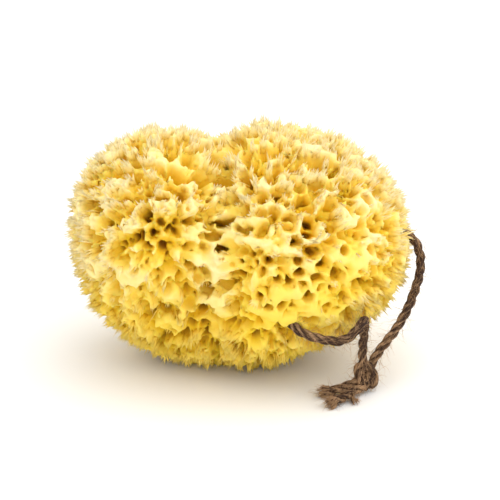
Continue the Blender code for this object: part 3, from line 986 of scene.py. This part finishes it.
class SPONGE_OT_lay_twine(bpy.types.Operator):
    """Lays the twine through the sponge, with its loose fibres"""

    bl_idname = "sponge.lay_twine"
    bl_label = "Lay the twine"

    def execute(self, context):
        settings = context.scene.sponge_twine
        tied = [made for made in bpy.data.objects if made.name.startswith(("knot_", "back_end", "front_end", "wisp"))]
        strands = (
            ("front_strand", tuple(reversed(FRONT_STRAND + CHANNEL[:3])), FRONT_STRAND[-1], []),
            ("side_strand", CHANNEL[-2:] + SIDE_STRAND, SIDE_STRAND[0], tied),
        )
        for number, (name, route, leaves, on_end) in enumerate(strands):
            points = smooth_route(route, 1.0)
            strand = twine_piece(name, points, settings)
            fuzz = fuzz_on(strand, settings, 20 + number)
            dress(strand, "jute", "twine_loop")
            dress(fuzz, "jute")
        return {"FINISHED"}


class SPONGE_OT_tie_knot(bpy.types.Operator):
    """Ties the knot and frays the two ends of the twine"""

    bl_idname = "sponge.tie_knot"
    bl_label = "Tie the knot"

    def execute(self, context):
        settings = context.scene.sponge_twine
        jute_material(settings)
        wide, high, thick = KNOT_SIZE
        turns = [2 * math.pi * (KNOT_START + step / STEPS_ROUND) for step in range(KNOT_STEPS)]
        wraps = [
            (wide * (math.sin(t) + 2 * math.sin(2 * t)), high * (math.cos(t) - 2 * math.cos(2 * t) + 0.4),
             -thick * math.sin(3 * t))
            for t in turns
        ]
        wrap = twine_piece("knot_wraps", smooth_route(in_knot(wraps), 0.5), settings, thickness=0.95)
        strap = twine_piece("knot_strap", smooth_route(in_knot(KNOT_STRAP), 0.5), settings, thickness=0.92)
        for piece in (wrap, strap):
            fuzz = fuzz_on(piece, settings, 31, many=0.7, long=0.8)
            dress(piece, "jute", "knot")
            dress(fuzz, "jute")
        for name, route, node, thickness in (
            ("back_end", BACK_TAIL, "back_tail", 1.0), ("front_end", FRONT_TAIL, "front_tail", 1.0),
            ("wisp", WISP, "front_tail", 0.6),
        ):
            tail = twine_piece(name, smooth_route(route, 0.5), settings, slack=0.6, thickness=thickness)
            brush = hair_piece(name + "_brush", tail, {
                "Per Square Metre": 3.2e6, "Longest": 3.2 * MM, "Thickness": 0.24 * MM, "Forward": 3.6,
                "From Share": 0.86, "Curl": 1.6 * MM, "Seed": 41,
            })
            fuzz = fuzz_on(tail, settings, 51, many=1.5, long=0.7, thickness=0.12, forward=1.0)
            dress(tail, "jute", node)
            dress(brush, "jute", node)
            dress(fuzz, "jute")
        return {"FINISHED"}


class SPONGE_OT_grow_body(bpy.types.Operator):
    """Grows the sponge's pored body"""

    bl_idname = "sponge.grow_body"
    bl_label = "Grow the body"

    def execute(self, context):
        settings = context.scene.sponge_body
        twine = context.scene.sponge_twine
        finish = sponge_material("dry_sponge", settings, 0.35)
        pores = new_object("large_pores", mesh_from("large_pores", [pore[0] for pore in LARGE_PORES]))
        for number, name in ((1, "pore_radius"), (2, "pore_depth")):
            values = pores.data.attributes.new(name, "FLOAT", "POINT")
            values.data.foreach_set("value", [pore[number] for pore in LARGE_PORES])
        body = whole_route()
        body.name = "sponge_body"
        voxel = settings.voxel * 1.0
        low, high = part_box("sponge")
        low = low - Vector((2, 2, 1)) * MM
        high = high + Vector((2, 2, 2)) * MM
        cells = [math.ceil((b - a) / voxel) for a, b in zip(low, high)]
        high = Vector([a + n * voxel for a, n in zip(low, cells)])
        grow(body, body_tree(), {
            "Pores": pores, "Material": finish, "Pore Pitch": settings.pore_pitch,
            "Wide Pitch": settings.wide_pitch, "Bubble Pitch": settings.bubble_pitch,
            "Crest Drop": settings.crest_drop, "Twine Radius": twine.diameter / 2 + 0.25 * MM,
            "Low Corner": low, "High Corner": high,
            **{"Cells " + axis: count + 1 for axis, count in zip("XYZ", cells)},
        })
        thin = body.modifiers.new("thin", "DECIMATE")
        thin.ratio = min(1.0, settings.triangles / sum(len(p.vertices) - 2 for p in body.data.polygons))
        grow(body, depth_tree(), {"Material": finish})
        bpy.data.objects.remove(pores)
        dress(body, "sponge", "sponge")
        return {"FINISHED"}


class SPONGE_OT_grow_tufts(bpy.types.Operator):
    """Grows the torn tufts on the body's crests, in three thirds"""

    bl_idname = "sponge.grow_tufts"
    bl_label = "Grow the tufts"

    def execute(self, context):
        settings = context.scene.sponge_body
        body = bpy.data.objects["sponge_body"]
        finish = sponge_material("dry_tips", settings, 0.0)
        tuft = new_object("tuft", tuft_mesh())
        route = whole_route()
        for number, name in enumerate(("right_tufts", "back_tufts", "left_tufts")):
            piece = new_object(name, body.data.copy())
            grow(piece, tuft_tree(), {
                "Tuft": tuft, "Route": route, "Material": finish, "Count": settings.tufts,
                "Width": settings.tuft_width, "Deepest Root": settings.tuft_root,
                "Sector Middle": math.radians(-30 + 120 * number), "Seed": 5 + number,
            })
            dress(piece, "sponge", "sponge")
        for helper in (tuft, route):
            bpy.data.objects.remove(helper)
        return {"FINISHED"}


class SPONGE_PT_tools(bpy.types.Panel):
    """Lists the steps in the 3D view's sidebar"""

    bl_label = "Sea Sponge"
    bl_idname = "SPONGE_PT_tools"
    bl_space_type = "VIEW_3D"
    bl_region_type = "UI"
    bl_category = "Sponge"

    def draw(self, context):
        column = self.layout.column(align=True)
        for step in STEPS:
            column.operator(step.bl_idname)


STEPS = (
    SPONGE_OT_set_stage, SPONGE_OT_tie_knot, SPONGE_OT_lay_twine, SPONGE_OT_grow_body, SPONGE_OT_grow_tufts,
)
CLASSES = (SpongeSettings, TwineSettings, StageSettings, *STEPS, SPONGE_PT_tools)
SETTINGS = (("sponge_body", SpongeSettings), ("sponge_twine", TwineSettings), ("sponge_stage", StageSettings))


def register():
    for cls in CLASSES:
        bpy.utils.register_class(cls)
    for name, group in SETTINGS:
        setattr(bpy.types.Scene, name, bpy.props.PointerProperty(type=group))


def unregister():
    for name, _ in SETTINGS:
        delattr(bpy.types.Scene, name)
    for cls in reversed(CLASSES):
        bpy.utils.unregister_class(cls)


def main():
    register()
    bpy.ops.sponge.set_stage()
    bpy.ops.sponge.tie_knot()
    bpy.ops.sponge.lay_twine()
    bpy.ops.sponge.grow_body()
    bpy.ops.sponge.grow_tufts()


if __name__ == "__main__":
    main()
